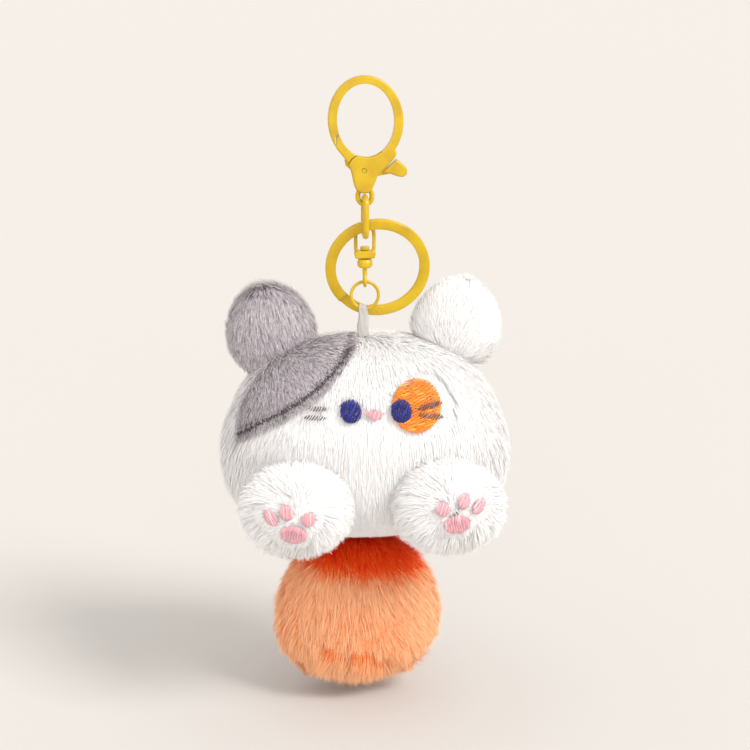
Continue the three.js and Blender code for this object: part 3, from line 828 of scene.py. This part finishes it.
PADS = {
    "palm": (1.3, -3.0, 3.7, 2.9, 12),
    "toe_inner": (-2.8, 1.5, 1.9, 2.1, -8),
    "toe_middle": (3.3, 3.6, 1.7, 2.3, -14),
    "toe_outer": (7.6, 1.9, 1.6, 2.5, -36),
}
PAD_DROP = {"left": 1.0, "right": -1.0}


def pads_of(side_name, side):
    """Each pad's name, and its centre, half sizes and angle seen from the front."""
    centre = paws[side_name].centre
    for pad, (x, z, half_x, half_z, turn) in PADS.items():
        place = (centre[0] + side * x, centre[2] + z - PAD_DROP[side_name])
        yield pad, place, (half_x, half_z), side * math.radians(turn)


def near_pad(points, side_name, side, margin):
    found = np.zeros(len(points), bool)
    for _, place, half, angle in pads_of(side_name, side):
        found |= in_ellipse(points[:, 0], points[:, 2], place, np.add(half, margin), angle)
    return found & (points[:, 1] < paws[side_name].centre[1])


def paw_pieces():
    for side_name, side in SIDES:
        form = paws[side_name]
        panels = (f"paw_{side_name}_sole", f"paw_{side_name}_cover")
        cover(f"paw_{side_name}_skin", form, WHITE_CLOTH, 40, 56, 0.8, "cat", "white_plush", *panels)
        set_all([f"paw_{side_name}_stuffing"], FILLING)
        roots, normals = form.plant(34000)
        free = ~inside(head, roots, 0.0) & ~near_pad(roots, side_name, side, -0.3)
        roots, normals = roots[free], normals[free]
        spread = roots - form.centre
        spread[:, 1] *= 0.2
        comb = unit(spread) + np.array([0, 0.15, -0.45])
        length = rng.uniform(4.6, 6.6, len(roots))
        length[near_pad(roots, side_name, side, 1.6)] = 2.2
        shades = shade_by(roots, 1, 3, 4.0, 0.5)
        fur(f"paw_{side_name}_fur", roots, normals, comb, length, shades, WHITE_PILE, "cat", "white_plush",
            width=0.21, lift=0.38, curl=0.34, clump=0.55, clump_size=2.5)


CREASE_DROP = 9.6
TUFT_MIDDLE = -1.5
TUFT_HALF = 9.5


def tail_pieces():
    """A long-haired tail, peach, with a crease where the last tuft folds forward. Its top, at the tail's root
    under the body, is painted red as painted shade, and the pile at the crease a darker orange as painted
    shade in the crease.
    """
    panels = ("tail_front_panel", "tail_back_panel")
    cover("tail_cover", tail, ORANGE_CLOTH, 48, 72, 0.7, "tail", "orange_plush", *panels)
    set_all(["tail_stuffing"], FILLING)
    roots, normals = tail.plant(76000)
    spread = roots - tail.centre
    x = spread[:, 0]
    comb = np.stack([x / 26, spread[:, 1] / 18, np.full(len(roots), -1.0)], axis=1)

    wave = np.sin(x * 0.62 + 0.8)
    below = -CREASE_DROP - 0.2 * x + 1.3 * wave - spread[:, 2]
    at_front = (spread[:, 1] < 2) & (np.abs(x - TUFT_MIDDLE) < TUFT_HALF)
    tuft = at_front & (below > 0)
    length = 9.3 + 2.6 * np.clip((below + 4) / 8, 0, 1)
    length = np.where(at_front & (np.abs(below + 1.4) < 1.6), 6.0, length)
    fade = np.clip(1.3 - np.abs(x - TUFT_MIDDLE) / TUFT_HALF, 0, 1)
    lift = np.where(tuft, 0.4 + 0.6 * fade, 0.42)
    comb[tuft] = np.stack([0.06 * x[tuft], np.full(tuft.sum(), 0.25), np.full(tuft.sum(), -1.0)], axis=1)

    shades = shade_by(roots, 2, 4, 5.0, 0.6)
    # Painted shade: the tuft's strands at the crease are held to the darker orange tones.
    painted_crease_shade = tuft & (below < 1.1 + 0.9 * wave + rng.normal(0, 0.4, len(roots)))
    shades = np.where(painted_crease_shade, np.minimum(shades, 2), shades)
    # Painted shade: the strands at the tail's top, in the shade under the body, take the red and deep orange
    # tones.
    height = spread[:, 2] / tail.half[2] + rng.normal(0, 0.05, len(roots)) + 0.005 * x
    shades = np.where(height > 0.66, 1, shades)
    shades = np.where(height > 0.76, 0, shades)
    fur("tail_fur", roots, normals, comb, length, shades, TAIL_PILE, "tail", "orange_plush",
        width=0.23, lift=lift, curl=0.33, clump=0.6, clump_size=2.8)


# ---- embroidery ----

def spans_of(inside_test, centre, reach, angle, spacing):
    """Straight stitches across a shape: the two ends of each line at this angle that is inside it."""
    direction = np.array([math.cos(angle), math.sin(angle)])
    across = np.array([-direction[1], direction[0]])
    probe = np.linspace(-reach, reach, 241)
    lines = []
    for offset in np.arange(-reach, reach, spacing):
        places = np.array(centre) + across * offset + probe[:, None] * direction
        hits = inside_test(places[:, 0], places[:, 1])
        if hits.sum() < 3:
            continue
        first, last = np.where(hits)[0][[0, -1]]
        lines.append((places[first], places[last]))
    return lines


def stitches(name, form, lines, shades, lift, slot, node, radius, longest=99.0, arch=0.35, rough=0.12):
    """Round threads laid on a form's front, each rising a little in its middle."""
    sides, knots = 6, 7
    share = np.linspace(0, 1, knots)
    taper = np.where((share == 0) | (share == 1), 0.55, 1.0)
    turn = np.linspace(0, 2 * math.pi, sides, endpoint=False)
    points, faces, indices = [], [], []
    for row, (start, end) in enumerate(lines, 1):
        count = max(1, round(float(np.hypot(*(end - start))) / longest))
        cuts = np.linspace(0, 1, count + 1)
        cuts[1:-1] += ((row % 3) - 1) * 0.33 / count
        for first, last in zip(cuts[:-1], cuts[1:]):
            a = start + (end - start) * first + rng.normal(0, rough * 0.6, 2)
            b = start + (end - start) * last + rng.normal(0, rough * 0.6, 2)
            flat = a + (b - a) * share[:, None]
            rise = lift + arch * np.sin(math.pi * share) ** 0.6 + rng.normal(0, 0.04)
            path = form.over(flat[:, 0], flat[:, 1], rise)
            heading = unit(np.gradient(path, axis=0))
            side = unit(np.cross(heading, [0, 1.0, 0]))
            up = np.cross(side, heading)
            size = radius * rng.uniform(0.85, 1.15) * taper
            round_it = np.cos(turn)[None, :, None] * side[:, None] + np.sin(turn)[None, :, None] * up[:, None]
            base = len(points) * knots * sides
            points.append((path[:, None] + size[:, None, None] * round_it).reshape(-1, 3))
            shade = min(int(rng.exponential(0.8)), len(shades) - 1)
            tube = grid_faces(knots, sides, base, closed=True)
            tube += cap_faces(base, sides) + cap_faces(base + (knots - 1) * sides, sides)
            faces += tube
            indices += [shade] * len(tube)
    obj = mesh_object(name, np.vstack(points) * MM, faces, shades, indices)
    outwards(obj)
    attach(obj, "cat", slot, node)


def ellipse_test(centre, half, angle=0.0):
    return lambda x, z: in_ellipse(x, z, centre, half, angle)


def leaf_test(centre, half, angle):
    """A pointed oval along an axis at this angle."""
    def test(x, z):
        along, across = turned(x, z, centre, angle)
        return np.abs(along / half[0]) ** 3 + np.abs(across / half[1]) ** 2 < 1

    return test


def polygon_test(corners):
    corners = np.array(corners)

    def test(x, z):
        found = np.zeros(len(x), bool)
        for (x0, z0), (x1, z1) in zip(corners, np.roll(corners, -1, axis=0)):
            crosses = (z0 > z) != (z1 > z)
            rise = z1 - z0 if z1 != z0 else 1e-9
            found ^= crosses & (x < (x1 - x0) * (z - z0) / rise + x0)
        return found

    return test


CLOTH_LIFT = 1.6
EYE_PATCH_LIFT = 1.35
OVER_PATCH = 0.35
PAD_LIFT = 1.5
SEAM_LIFT = 2.3


def face_pieces():
    for node, centre in EYES.items():
        lines = spans_of(ellipse_test(centre, EYE_HALF), centre, 4.2, math.radians(62), 0.24)
        lift = CLOTH_LIFT + (OVER_PATCH if "right" in node else 0)
        stitches(f"{node}_stitches", head, lines, NAVY, lift, "thread_navy", node, 0.17, 3.2)

    oval = ellipse_test(EYE_PATCH_CENTRE, EYE_PATCH_HALF)
    lines = spans_of(oval, EYE_PATCH_CENTRE, 8.4, math.radians(8), 0.26)
    node = "eye_patch"
    stitches(f"{node}_stitches", head, lines, ORANGE, EYE_PATCH_LIFT, "thread_orange", node, 0.18, 2.7)

    lines = spans_of(polygon_test(NOSE), NOSE_CENTRE, 4.0, math.radians(70), 0.26)
    stitches("nose_stitches", head, lines, PINK, CLOTH_LIFT, "thread_pink", "nose", 0.16)

    for node, (start, end, width) in WHISKERS.items():
        run, climb = np.subtract(end, start)
        angle = math.atan2(climb, run)
        centre = np.add(start, end) / 2
        half = math.hypot(run, climb) / 2
        leaf = leaf_test(centre, (half, width / 2), angle)
        lines = spans_of(leaf, centre, half + 1, angle + math.radians(52), 0.6)
        lift = CLOTH_LIFT + (OVER_PATCH if "right" in node else 0)
        stitches(f"{node}_stitches", head, lines, GREY_THREAD, lift, "thread_grey", node, 0.17)


def pad_pieces():
    for side_name, side in SIDES:
        for pad, place, half, angle in pads_of(side_name, side):
            node = f"paw_{side_name}_{pad}"
            oval = ellipse_test(place, half, angle)
            lines = spans_of(oval, place, max(half) + 0.5, angle + math.radians(80), 0.24)
            form = paws[side_name]
            stitches(f"{node}_stitches", form, lines, PINK, PAD_LIFT, "thread_pink", node, 0.165, 3.0)


def patch_seam():
    """Short dark stitches that bind the grey cloth's edge."""
    x = np.linspace(-38.2, -4.4, 112)
    z = patch_edge_height(x)
    half = 0.45
    lines = []
    for px, pz, slope in zip(x, z, np.gradient(z, x)):
        centre = np.array([px, pz])
        across = unit(np.array([slope, -1.0])) * half
        lines.append((centre - across, centre + across))
    stitches("patch_edge_stitches", head, lines, SEAM_THREAD, SEAM_LIFT, "thread_grey", "patch_stitching",
             0.12, arch=0.3, rough=0.32)


# ---- ribbon ----

RIBBON_TOP = -65.0
RIBBON_BOTTOM = -74.0
RIBBON_X = -0.5
RIBBON_Y = 0.65
RIBBON_BEND = 0.9
RIBBON_FOOT = 0.35


def ribbon():
    """A thin gauze ribbon doubled over the jump ring, gathered where it bears on the wire."""
    climb = np.linspace(0, 1, 16)
    arc = np.linspace(math.pi, 0, 14)
    side_z = RIBBON_BOTTOM + (RIBBON_TOP - RIBBON_BOTTOM) * climb
    side_y = RIBBON_FOOT + (RIBBON_BEND - RIBBON_FOOT) * climb
    bend = np.stack([RIBBON_BEND * np.cos(arc), RIBBON_TOP + RIBBON_BEND * np.sin(arc)], axis=1)
    line = np.vstack([
        np.stack([-side_y, side_z], axis=1),
        bend[1:-1],
        np.stack([side_y[::-1], side_z[::-1]], axis=1),
    ])
    share = np.linspace(-1, 1, 9)
    rows = []
    for y, z in line:
        half = 1.05 + 0.55 * np.clip((RIBBON_TOP + 1 - z) / 7, 0, 1) ** 0.7
        ruffle = 0.12 * np.sin(share * 6 + z * 0.8)
        across = RIBBON_X + half * share + 0.15 * math.sin(z)
        rows.append(np.stack([across, RIBBON_Y + y + ruffle, np.full(len(share), z)], axis=1))
    obj = sheet_object("ribbon_gauze", rows, RIBBON, 0.16)
    attach(obj, "cat", "clear_ribbon", "ribbon_loop")


# ---- studio ----

FLOOR_GAP = 0.5
FLOOR_REACH = 8.0
CAMERA_TARGET = Vector((2.9, 0, -85.2)) * MM
CAMERA_AZIMUTH = math.radians(-4.5)
CAMERA_ELEVATION = math.radians(14.5)
CAMERA_DISTANCE = 0.55
CAMERA_LENS = 89.8


def sun(name, energy, angle, towards, colour=(1.0, 1.0, 1.0)):
    """A sun that shines from the way towards points, with this angle across in degrees."""
    light = bpy.data.lights.new(name, "SUN")
    light.energy = energy
    light.angle = math.radians(angle)
    light.color = colour
    obj = bpy.data.objects.new(name, light)
    obj.rotation_euler = Vector(towards).to_track_quat("Z", "Y").to_euler()
    bpy.context.scene.collection.objects.link(obj)


def studio():
    scene = bpy.context.scene
    scene.view_settings.view_transform = "Standard"
    floor_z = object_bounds()[0][2] - FLOOR_GAP * MM
    corners = [(x * FLOOR_REACH, y * FLOOR_REACH, floor_z) for x, y in ((-1, -1), (1, -1), (1, 1), (-1, 1))]
    paper, _, _ = new_material("paper_floor", (0.622, 0.600, 0.574), 0.9)
    mesh_object("floor", corners, [[0, 1, 2, 3]], [paper])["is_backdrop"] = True

    world = bpy.data.worlds.new("studio")
    scene.world = world
    world.use_nodes = True
    background = world.node_tree.nodes["Background"]
    background.inputs["Color"].default_value = (1.0, 0.975, 0.945, 1)
    background.inputs["Strength"].default_value = 0.95
    sun("key", 2.2, 24, (0.62, -0.50, 0.72), (1.0, 0.975, 0.94))
    sun("fill", 1.35, 60, (-0.12, -1.0, -0.04))


def camera():
    scene = bpy.context.scene
    data = bpy.data.cameras.new("camera")
    data.sensor_width = 36
    data.lens = CAMERA_LENS
    data.clip_end = 50
    obj = bpy.data.objects.new("camera", data)
    scene.collection.objects.link(obj)
    level = math.cos(CAMERA_ELEVATION)
    sideways, forward = math.sin(CAMERA_AZIMUTH) * level, -math.cos(CAMERA_AZIMUTH) * level
    back = Vector((sideways, forward, math.sin(CAMERA_ELEVATION)))
    obj.location = CAMERA_TARGET + back * CAMERA_DISTANCE
    obj.rotation_euler = (-back).to_track_quat("-Z", "Y").to_euler()
    scene.camera = obj


camera()
hardware()
split_ring()
ribbon()
head_pieces()
grey_patch()
ear_pieces()
paw_pieces()
tail_pieces()
face_pieces()
pad_pieces()
patch_seam()
studio()
